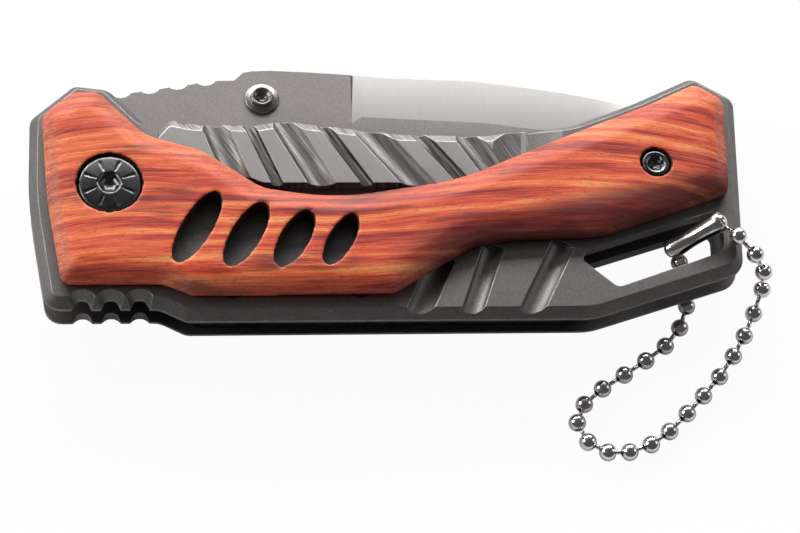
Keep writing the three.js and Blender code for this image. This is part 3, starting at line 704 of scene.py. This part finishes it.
def makeTurnedMetal(name, finish):
    material, tree, shader = newMaterial(name, 1.0, finish["roughness"])
    mottled = addMottle(tree, finish["colour"], finish)
    worn = addWear(tree, mottled["Colour"], finish)
    rough = varyRoughness(tree, mottled["Mask"], finish)
    scratches = noiseOf(tree, objectPlace(tree), finish["scratchSize"], detail=3)
    bump = addBump(tree, scratches, finish["scratchDepth"])
    connectShader(tree, shader, worn["Colour"], rough, bump)
    return material


chromeFinish = {
    "colour": (0.92, 0.89, 0.88, 1),
    "roughness": 0.2,
    "mottleSize": 1.2,
    "mottle": 0.22,
    "darkening": (0.12, 0.10, 0.095, 1),
    "darkeningRoughness": 0.45,
    "insideDarkening": 0.9,
    "smudgeSize": 0.5,
    "smudgeLevels": (0.45, 0.75),
    "smudgeShare": 0.12,
    "dentSize": 1.3,
    "dentDepth": 0.02,
}


def makeChrome(finish):
    material, tree, shader = newMaterial("nickelPlate", 1.0, finish["roughness"])
    mottled = addMottle(tree, finish["colour"], finish)
    place = objectPlace(tree)
    # Faces inside the bead holes and the connector tube are darker, and so are random smudges
    darkInside = calculate(tree, "MULTIPLY", attributeOf(tree, "darkening"), finish["insideDarkening"])
    smudges = noiseOf(tree, place, finish["smudgeSize"], detail=4)
    smudges = remap(tree, smudges, *finish["smudgeLevels"])
    smudged = calculate(tree, "MULTIPLY", smudges, finish["smudgeShare"])
    mask = calculate(tree, "MAXIMUM", darkInside, smudged)
    colour = mixColours(tree, mask, mottled["Colour"], finish["darkening"])
    rough = remap(tree, mask, 0, 1, finish["roughness"], finish["darkeningRoughness"])
    bump = addBump(tree, noiseOf(tree, place, finish["dentSize"], detail=2), finish["dentDepth"])
    connectShader(tree, shader, colour, rough, bump)
    return material


frameMetal = makeFrameMetal(frameFinish)
lockBarMetal = makeLockBarMetal(lockBarFinish)
bladeSteel = makeBladeSteel(bladeFinish)
redWood = makeRedWood(woodFinish, heartwoodAndEdgeShade, sawnCutAndWallShade, grainFlow)
blackSteel = makeTurnedMetal("blackOxideSteel", blackFinish)
plainSteel = makeTurnedMetal("turnedSteel", steelFinish)
bronze = makeTurnedMetal("washerBronze", bronzeFinish)
chrome = makeChrome(chromeFinish)
print("materials built")


# Ball chain

chain = {
    "beads": (
        (102.3, -7.1, 15.2), (105.6, -9.4, 14.7), (108.7, -12.0, 12.9), (110.9, -13.5, 9.2),
        (111.5, -14.8, 5.0), (110.5, -17.8, 1.5), (108.3, -22.0, 1.5), (105.9, -25.8, 1.5),
        (103.0, -29.6, 1.5), (99.8, -33.1, 1.5), (96.6, -36.3, 1.5), (93.2, -39.5, 1.5),
        (89.8, -41.8, 1.5), (86.0, -43.1, 1.5), (82.3, -43.1, 1.5), (79.1, -41.2, 1.5),
        (77.6, -37.7, 1.5), (79.1, -34.4, 1.5), (82.5, -31.6, 1.5), (86.5, -29.1, 1.5),
        (90.5, -26.5, 1.5), (94.2, -23.8, 1.5), (97.1, -20.4, 1.5), (98.8, -16.3, 1.5),
        (98.4, -12.1, 1.6), (97.4, -9.8, 5.4), (95.4, -9.2, 9.6),
    ),
    "beadRadius": 1.5,
    "holeRadius": 0.52,
    "holeDepth": 0.35,
    "holeTaper": 0.04,
    "lipWidth": 0.1,  # of the rolled edge round a hole
    "lipDepth": 0.03,
    "linkRadius": 0.36,
    "linkOverlap": 0.2,  # how far a link reaches into the floors of its two holes together
    "linkSteps": 12,
    "beadSteps": 32,
    "arcSteps": 12,
}

connector = {
    "radius": 1.85,
    "wall": 0.25,
    "lip": 0.25,  # how far the ends are rolled in
    "overhang": 0.9,
    "slot": 50,  # how much of the round is left open along the tube
    "slotTurn": 200,
    "pinch": 0.2,  # how far the tube is squeezed between its two ends
    "steps": 40,
    "lengthCuts": 9,
    "darkening": 0.5,
}


# Turn and place that stand a shape made along +Z on a line between two points
def alongLine(start, end):
    direction = end - start
    turn = direction.to_track_quat("Z", "Y").to_matrix().to_4x4()
    return Matrix.Translation(start) @ turn


def addBead(shape, place, ahead, size):
    hole = size["holeRadius"]
    mouth = hole + size["lipWidth"]
    pole = math.sqrt(size["beadRadius"] ** 2 - mouth ** 2)
    first = math.asin(mouth / size["beadRadius"])
    floor = size["holeDepth"] - pole
    profile = [(0, floor), (hole - size["holeTaper"], floor), (hole, size["lipDepth"] - pole)]
    for step in range(size["arcSteps"] + 1):
        angle = first + (math.pi - 2 * first) * step / size["arcSteps"]
        profile.append((size["beadRadius"] * math.sin(angle), -size["beadRadius"] * math.cos(angle)))
    profile += [(radius, -height) for radius, height in reversed(profile[:3])]
    bead = bmesh.new()
    darkening = bead.faces.layers.float.new("darkening")
    spinProfile(bead, profile, size["beadSteps"])
    # Faces inside the holes are marked to be darker
    for face in bead.faces:
        if face.calc_center_median().to_2d().length < hole * mm:
            face[darkening] = 1.0
    bead.transform(alongLine(place, place + ahead))
    mesh = bpy.data.meshes.new("bead")
    bead.to_mesh(mesh)
    bead.free()
    shape.from_mesh(mesh)
    bpy.data.meshes.remove(mesh)


def addLink(shape, start, end, size):
    inset = size["beadRadius"] - size["holeDepth"]
    result = bmesh.ops.create_cone(
        shape,
        cap_ends=True,
        segments=size["linkSteps"],
        radius1=size["linkRadius"] * mm,
        radius2=size["linkRadius"] * mm,
        depth=(end - start).length - 2 * inset * mm + size["linkOverlap"] * mm,
    )
    middle = alongLine(start, end) @ Matrix.Translation((0, 0, (end - start).length / 2))
    bmesh.ops.transform(shape, matrix=middle, verts=result["verts"])


def makeChain(size):
    places = [Vector(place) * mm for place in size["beads"]]
    shape = bmesh.new()
    shape.faces.layers.float.new("darkening")
    for index, place in enumerate(places):
        before = places[max(index - 1, 0)]
        after = places[min(index + 1, len(places) - 1)]
        addBead(shape, place, after - before, size)
    for start, end in zip(places, places[1:]):
        addLink(shape, start, end, size)
    piece = finishPiece("ballChain", shape, "handle", chrome, ["ball_chain"])


# Folded sheet tube that holds the chain's two end beads, open along a slot
def makeConnector(size, beads):
    left = Vector(beads[-1]) * mm
    right = Vector(beads[0]) * mm
    along = (right - left).normalized()
    start = left - along * size["overhang"] * mm
    length = (right - left).length + 2 * size["overhang"] * mm
    outer = size["radius"]
    inner = outer - size["wall"]
    lip = inner - size["lip"]
    # Rolled rim and start of the inner wall, as (radius, distance from the end)
    nearRim = [(lip, 0.1), (lip + 0.1, 0), (outer - 0.35, 0), (outer - 0.1, 0.12), (outer, 0.4)]
    nearWall = [(inner, 0.6), (inner - 0.12, 0.35)]
    farEnd = [(radius, length / mm - height) for radius, height in reversed(nearWall + nearRim)]
    shape = bmesh.new()
    darkening = shape.faces.layers.float.new("darkening")
    ring = [
        shape.verts.new((radius * mm, 0, height * mm))
        for radius, height in nearRim + farEnd + nearWall
    ]
    face = shape.faces.new(ring)
    slotTurn = Matrix.Rotation(math.radians(size["slotTurn"]), 3, "Z")
    bmesh.ops.rotate(shape, verts=ring, cent=(0, 0, 0), matrix=slotTurn)
    bmesh.ops.spin(
        shape,
        geom=[face],
        cent=(0, 0, 0),
        axis=(0, 0, 1),
        angle=math.radians(360 - size["slot"]),
        steps=size["steps"],
    )
    bmesh.ops.recalc_face_normals(shape, faces=shape.faces)
    # Faces on the inside of the tube are marked to be darker
    for face in shape.faces:
        if face.calc_center_median().to_2d().length < (inner + 0.05) * mm:
            face[darkening] = size["darkening"]
    # Walls that run nearly from end to end are cut up, so that the tube can be pinched
    walls = [edge for edge in shape.edges if abs(edge.verts[0].co.z - edge.verts[1].co.z) > length / 4]
    bmesh.ops.subdivide_edges(shape, edges=walls, cuts=size["lengthCuts"], use_grid_fill=True)
    for vert in shape.verts:
        share = vert.co.z / length
        pinch = 1 - size["pinch"] * math.sin(math.pi * share) ** 2
        vert.co.x *= pinch
        vert.co.y *= pinch
    shape.transform(alongLine(start, start + along))
    return finishPiece("chainConnector", shape, "handle", chrome, ["chain_connector"], True)


connectorPiece = makeConnector(connector, chain["beads"])
makeChain(chain)
print("chain and connector made")


# Floor and lights

studio = {
    "floorSize": 14.0,  # metres
    "floorColour": (0.90, 0.90, 0.90, 1),
    "cameraGlow": 0.95,
    "mirrorGlow": 0.10,
    "worldStrength": 0.08,
    "target": (48, 0, 6),
    "lampDistance": 1.7,  # metres
}

# Direction is degrees from +Y towards -X; width and height are metres
softboxes = {
    "backKey": {"direction": 6, "elevation": 28, "width": 2.6, "height": 0.5, "radiance": 13.0},
    "backTop": {"direction": 0, "elevation": 50, "width": 2.0, "height": 0.5, "radiance": 0.35},
    "left": {"direction": 80, "elevation": 26, "width": 0.7, "height": 0.7, "radiance": 7.0},
    "right": {"direction": -80, "elevation": 26, "width": 0.7, "height": 0.7, "radiance": 1.5},
}


def addFloor(size):
    shape = bmesh.new()
    bmesh.ops.create_grid(shape, x_segments=1, y_segments=1, size=size["floorSize"] / 2)
    mesh = bpy.data.meshes.new("floor")
    shape.to_mesh(mesh)
    shape.free()
    material = bpy.data.materials.new("paleFloor")
    material.use_nodes = True
    tree = material.node_tree
    tree.nodes.clear()
    paint = addNode(tree, "ShaderNodeBsdfDiffuse", {"Color": size["floorColour"]})
    glow = addNode(tree, "ShaderNodeEmission", {"Color": (1, 1, 1, 1), "Strength": 1.0})
    rays = addNode(tree, "ShaderNodeLightPath").outputs
    mirrored = calculate(tree, "ADD", rays["Is Glossy Ray"], rays["Is Transmission Ray"])
    share = calculate(tree, "MULTIPLY", rays["Is Camera Ray"], size["cameraGlow"])
    share = calculate(tree, "MULTIPLY_ADD", mirrored, size["mirrorGlow"], share)
    both = addNode(tree, "ShaderNodeMixShader", {0: share, 1: paint.outputs[0], 2: glow.outputs[0]})
    addNode(tree, "ShaderNodeOutputMaterial", {"Surface": both.outputs[0]})
    mesh.materials.append(material)
    floor = bpy.data.objects.new("floor", mesh)
    scene.collection.objects.link(floor)


def addSoftbox(name, box, target, distance):
    lamp = bpy.data.lights.new(name, "AREA")
    lamp.shape = "RECTANGLE"
    lamp.size = box["width"]
    lamp.size_y = box["height"]
    lamp.energy = box["radiance"] * math.pi * box["width"] * box["height"]
    azimuth = math.radians(box["direction"])
    elevation = math.radians(box["elevation"])
    outward = Vector((
        -math.sin(azimuth) * math.cos(elevation),
        math.cos(azimuth) * math.cos(elevation),
        math.sin(elevation),
    ))
    holder = bpy.data.objects.new(name, lamp)
    holder.location = Vector(target) * mm + outward * distance
    holder.rotation_euler = outward.to_track_quat("Z", "Y").to_euler()
    scene.collection.objects.link(holder)


def setWorld(strength):
    world = bpy.data.worlds.new("softSurround")
    world.use_nodes = True
    background = world.node_tree.nodes["Background"].inputs
    background["Color"].default_value = (1, 1, 1, 1)
    background["Strength"].default_value = strength
    scene.world = world


addFloor(studio)
for softboxName, softbox in softboxes.items():
    addSoftbox(softboxName, softbox, studio["target"], studio["lampDistance"])
setWorld(studio["worldStrength"])
print("floor and lights set")


# Dressed pieces of the handle and the blade

rounding = {
    "front_frame": 0.12,
    "rear_frame": 0.12,
    "lock_bar": 0.12,
    "blade": 0.10,
    "back_spacer": 0.15,
    "stop_pin": 0.1,
    "tail_standoff": 0.1,
    "front_washer": 0.08,
    "rear_washer": 0.08,
    "pivot_barrel": 0.1,
    "thumb_stud_nut": 0.1,
}

metalFaces = {
    "levelNormal": 0.999,  # faces of the lock bar that are this level are its brushed flats
    "groundSlopes": (1.5, 30),  # slopes of the blade's ground faces
}


def dressNode(node, name, body, material):
    shape = nodeShape(node)
    softenEdges(shape, rounding[node])
    finishPiece(name, shape, body, material, [node], True)


# The bar's flats are brushed, while its flutes, chamfer and scoop show the cutter's streaks and take a
# darker colour, painted shade for the hollows and to dim the chamfer's highlight
def dressLockBar():
    shape = nodeShape("lock_bar")
    milled = shape.faces.layers.float.new("milled")
    for face in shape.faces:
        face[milled] = 0.0 if abs(face.normal.z) > metalFaces["levelNormal"] else 1.0
    softenEdges(shape, rounding["lock_bar"])
    finishPiece("lockBar", shape, "lock_bar", lockBarMetal, ["lock_bar"], True)


def dressBlade():
    shape = nodeShape("blade")
    # Faces on the grind slopes are marked to take the lighter colour, which is painted light
    ground = shape.faces.layers.float.new("ground")
    leastSlope, mostSlope = metalFaces["groundSlopes"]
    for face in shape.faces:
        face[ground] = 1.0 if leastSlope < slopeOf(face) < mostSlope else 0.0
    softenEdges(shape, rounding["blade"])
    finishPiece("bladeBody", shape, "blade", bladeSteel, ["blade"], True)


woodShaping = {
    "flatAngle": 0.3,
    "voxel": 0.36,
    "passes": 6,  # how often the surface is smoothed, which rounds the sawn edges
    "crispPasses": 2,
    "boreMargin": 1.2,
    # place and reach of each
    "windows": ((14.3, -8.2, 8.0), (22.35, -9.6, 7.4), (30.25, -10.4, 6.5), (37.9, -10.6, 5.9)),
    "cutFrom": 13.0,  # slopes between which the saw's rough cut comes in
    "cutTo": 20.0,
    "sideCut": 0.25,  # how rough the cut is along the grain, where it is 1 across it
    "wallFrom": 45.0,  # steeper faces inside the windows and bores get painted shade
}


# The same solid with an even, fine surface that can be sanded round
def remeshed(shape, voxel):
    mesh = bpy.data.meshes.new("sawnWood")
    shape.to_mesh(mesh)
    holder = bpy.data.objects.new("sawnWood", mesh)
    scene.collection.objects.link(holder)
    voxels = holder.modifiers.new("voxels", "REMESH")
    voxels.mode = "VOXEL"
    voxels.voxel_size = voxel * mm
    evaluated = holder.evaluated_get(bpy.context.evaluated_depsgraph_get())
    shape.clear()
    shape.from_mesh(evaluated.to_mesh())
    evaluated.to_mesh_clear()
    bpy.data.objects.remove(holder)
    bpy.data.meshes.remove(mesh)


# Centre and reach of the places whose edges stay crisp: the windows and the screw heads' seats
def crispPlaces(shaping):
    places = [(Vector((x, y)) * mm, reach * mm) for x, y, reach in shaping["windows"]]
    for node in ("pivot_screw", "tail_screw_front"):
        low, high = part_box(node)
        places.append((nodeCentre(node).to_2d(), (high[0] - low[0]) / 2 + shaping["boreMargin"] * mm))
    return places


def isCrisp(point, crisp):
    return any((point - centre).length < reach for centre, reach in crisp)


# Smooths the whole surface a little, and all but the crisp places some more
def sandWood(shape, crisp, shaping):
    everywhere = list(shape.verts)
    free = [vert for vert in everywhere if not isCrisp(vert.co.to_2d(), crisp)]
    for step in range(shaping["passes"]):
        bmesh.ops.smooth_vert(
            shape,
            verts=everywhere if step < shaping["crispPasses"] else free,
            factor=0.5,
            use_axis_x=True,
            use_axis_y=True,
            use_axis_z=True,
        )
    bmesh.ops.recalc_face_normals(shape, faces=shape.faces)


# Marks the rough cut, roughest across the grain, and the walls of windows and bores that get painted shade
def markCutAndWallShade(shape, crisp, shaping):
    facet = shape.faces.layers.float.new("facet")
    shadedWall = shape.faces.layers.float.new("shadedWall")
    span = shaping["cutTo"] - shaping["cutFrom"]
    for face in shape.faces:
        slope = slopeOf(face)
        if slope > shaping["wallFrom"] and isCrisp(face.calc_center_median().to_2d(), crisp):
            face[shadedWall] = 1
            continue
        across = face.normal.to_2d()
        endGrain = abs(across.x) / max(across.length, 0.001)
        cut = min(max((slope - shaping["cutFrom"]) / span, 0), 1)
        face[facet] = cut * (shaping["sideCut"] + (1 - shaping["sideCut"]) * endGrain)


def dressWood(node, name):
    shape = nodeShape(node, woodShaping["flatAngle"])
    remeshed(shape, woodShaping["voxel"])
    crisp = crispPlaces(woodShaping)
    sandWood(shape, crisp, woodShaping)
    markCutAndWallShade(shape, crisp, woodShaping)
    print(name, len(shape.faces), "faces")
    finishPiece(name, shape, "handle", redWood, [node])


dressNode("front_frame", "frontFrame", "handle", frameMetal)
dressNode("rear_frame", "rearFrame", "handle", frameMetal)
dressLockBar()
dressNode("back_spacer", "backSpacer", "handle", blackSteel)
dressNode("stop_pin", "stopPin", "handle", plainSteel)
dressNode("tail_standoff", "tailStandoff", "handle", plainSteel)
dressNode("front_washer", "frontWasher", "handle", bronze)
dressNode("rear_washer", "rearWasher", "handle", bronze)
dressNode("pivot_barrel", "pivotBarrel", "handle", blackSteel)
dressNode("thumb_stud_nut", "thumbStudNut", "blade", plainSteel)
dressBlade()
dressWood("front_wood_scale", "frontWoodScale")
dressWood("rear_wood_scale", "rearWoodScale")
print("frames, blade and wood dressed")


# Pivot screw: domed head with a hexagonal socket and plain radial marks

pivotHead = {
    "steps": 96,
    "shank": 1.9,
    "shankChamfer": 0.3,
    "headHeight": 1.6,
    "dome": 0.42,
    "domeRings": 9,
    "domeInset": 0.35,  # from the head's edge to the dome's
    "rimRound": ((0, 0.30), (0.08, 0.12)),
    "wornRim": (0.02, 0.4),  # distances from the edge between which it is worn
    "rimWear": 0.8,
    "socket": 1.9,  # centre to a corner
    "socketTaper": 0.02,
    "socketDepth": 1.0,
    "drillDepth": 0.1,  # of the drill's cone below the socket
    "marks": 8,
    "markInner": 2.5,
    "markOuter": 4.5,
    "markDepth": 0.28,
}


def hexagonRadius(corner, angle):
    side = math.radians(60)
    return corner * math.cos(side / 2) / math.cos(angle % side - side / 2)


def makePivotScrew(size):
    low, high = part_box("pivot_screw")
    radius = high[0] / mm
    foot = low[2] / mm
    top = high[2] / mm
    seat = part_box("front_wood_scale")[1][2] / mm - size["headHeight"]
    shank = size["shank"]
    chamfer = size["shankChamfer"]
    rim = top - size["dome"]
    domeEdge = radius - size["domeInset"]
    floor = top - size["socketDepth"]
    profile = [(0, foot), (shank - chamfer, foot), (shank, foot + chamfer), (shank, seat), (radius, seat)]
    profile += roundedEdge(radius, rim, size["rimRound"])
    for ring in range(size["domeRings"] + 1):
        share = ring / size["domeRings"]
        reach = domeEdge - (domeEdge - size["socket"]) * share
        profile.append((reach, rim + size["dome"] * (1 - (reach / radius) ** 2)))
    profile += [(size["socket"] - size["socketTaper"], floor), (0, floor - size["drillDepth"])]
    shape = bmesh.new()
    spinProfile(shape, profile, size["steps"])
    spacing = 2 * math.pi / size["steps"]
    every = size["steps"] // size["marks"]
    # The socket's round wall is drawn into a hexagon, and the marks are pressed into the dome
    for vert in shape.verts:
        reach = vert.co.to_2d().length / mm
        angle = math.atan2(vert.co.y, vert.co.x) % (2 * math.pi)
        step = round(angle / spacing) % size["steps"]
        if vert.co.z > (floor - weldGap) * mm and reach < size["socket"] + weldGap:
            corner = hexagonRadius(size["socket"], angle) / reach
            vert.co.x *= corner
            vert.co.y *= corner
        elif step % every == every // 2 and size["markInner"] < reach < size["markOuter"]:
            vert.co.z -= size["markDepth"] * mm
    worn = shape.faces.layers.float.new("edgeWear")
    nearest, farthest = size["wornRim"]
    for face in shape.faces:
        gap = radius - face.calc_center_median().to_2d().length / mm
        if nearest < gap < farthest and face.normal.z > 0.3:
            face[worn] = size["rimWear"]
    finishPiece("pivotScrew", shape, "handle", blackSteel, ["pivot_screw"])


makePivotScrew(pivotHead)


# Tail screws: button head with a six-lobe socket

tailScrew = {
    "steps": 72,
    "shank": 1.1,
    "shankChamfer": 0.2,
    "headHeight": 1.5,
    "headRound": ((0, 0.42), (0.1, 0.15), (0.32, 0.02)),
    "mouthRound": ((-0.45, 0), (-0.25, 0.03)),
    "cup": 0.12,
    "cupRound": ((-0.12, 0), (0, 0.05)),
    "socket": 1.25,
    "socketTaper": 0.03,
    "lobe": 0.2,
    "lobes": 6,
    "socketDepth": 0.9,
    "drillDepth": 0.08,
    "wornLip": 0.3,  # width of the worn ring round the socket
}


def makeTailScrew(node, name, size, upwards):
    low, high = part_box(node)
    centre = nodeCentre(node) / mm
    radius = (high[0] - low[0]) / 2 / mm
    top = (high[2] - low[2]) / mm
    seat = top - size["headHeight"]
    shank = size["shank"]
    chamfer = size["shankChamfer"]
    socket = size["socket"] + size["lobe"]
    floor = top - size["socketDepth"]
    profile = [(0, 0), (shank - chamfer, 0), (shank, chamfer), (shank, seat), (radius, seat)]
    profile += roundedEdge(radius, top, size["headRound"])
    profile += roundedEdge(socket, top, size["mouthRound"])
    profile += roundedEdge(socket, top - size["cup"], size["cupRound"])
    profile += [(socket - size["socketTaper"], floor), (0, floor - size["drillDepth"])]
    shape = bmesh.new()
    spinProfile(shape, profile, size["steps"])
    # The socket's round wall is drawn into lobes
    for vert in shape.verts:
        reach = vert.co.to_2d().length / mm
        if vert.co.z > (floor - weldGap) * mm and reach < socket + weldGap:
            angle = math.atan2(vert.co.y, vert.co.x)
            wanted = size["socket"] + size["lobe"] * math.cos(size["lobes"] * angle)
            vert.co.x *= wanted / reach
            vert.co.y *= wanted / reach
    worn = shape.faces.layers.float.new("edgeWear")
    for face in shape.faces:
        reach = face.calc_center_median().to_2d().length / mm
        if socket < reach < socket + size["wornLip"] and face.normal.z > 0.2:
            face[worn] = 1.0
    if upwards:
        foot = low[2]
    else:
        foot = high[2]
        bmesh.ops.scale(shape, vec=(1, 1, -1), verts=shape.verts)
        bmesh.ops.recalc_face_normals(shape, faces=shape.faces)
    bmesh.ops.translate(shape, verts=shape.verts, vec=(centre.x * mm, centre.y * mm, foot))
    finishPiece(name, shape, "handle", blackSteel, [node])


makeTailScrew("tail_screw_front", "tailScrewFront", tailScrew, True)
makeTailScrew("tail_screw_rear", "tailScrewRear", tailScrew, False)


# Thumb stud: flanged button with a cupped socket

thumbStud = {
    "steps": 64,
    "shank": 1.2,
    "flangeRadius": 3.0,
    "flangeHeight": 0.45,
    "flangeRound": ((0, 0.3), (0.08, 0.1), (0.3, 0)),
    "fillet": 0.12,
    "height": 1.25,
    "radius": 1.95,
    "topRound": ((0, 0.3), (0.08, 0.1), (0.25, 0)),
    "cup": 1.45,
    "cupRound": ((-0.06, 0), (0, 0.06)),
    "socket": 1.0,
    "socketRound": ((-0.12, 0.5), (0, 0.55)),
    "socketTaper": 0.03,
    "socketDepth": 1.0,
    "drillDepth": 0.15,
}


def makeThumbStud(size):
    low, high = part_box("thumb_stud")
    centre = nodeCentre("thumb_stud") / mm
    foot = low[2] / mm
    top = high[2] / mm
    under = top - size["height"]
    flange = under + size["flangeHeight"]
    shank = size["shank"]
    radius = size["radius"]
    fillet = size["fillet"]
    floor = top - size["socketDepth"]
    profile = [(0, foot), (shank, foot), (shank, under), (size["flangeRadius"], under)]
    profile += roundedEdge(size["flangeRadius"], flange, size["flangeRound"])
    profile += [(radius + fillet, flange), (radius, flange + fillet)]
    profile += roundedEdge(radius, top, size["topRound"])
    profile += roundedEdge(size["cup"], top, size["cupRound"])
    profile += roundedEdge(size["socket"], top, size["socketRound"])
    profile += [(size["socket"] - size["socketTaper"], floor), (0, floor - size["drillDepth"])]
    shape = bmesh.new()
    spinProfile(shape, profile, size["steps"], centre.to_2d())
    finishPiece("thumbStud", shape, "blade", plainSteel, ["thumb_stud"])


makeThumbStud(thumbStud)
print("screws and stud made")


# Pieces that keep their own shape

def paintNode(node, material):
    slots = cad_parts[node].material_slots
    if slots:
        for slot in slots:
            slot.material = material
    else:
        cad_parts[node].data.materials.append(material)


for number in (1, 2):
    paintNode(f"spacer_screw_front_{number}", blackSteel)
    paintNode(f"spacer_screw_rear_{number}", blackSteel)
paintNode("detent_ball", plainSteel)
print("small parts painted")
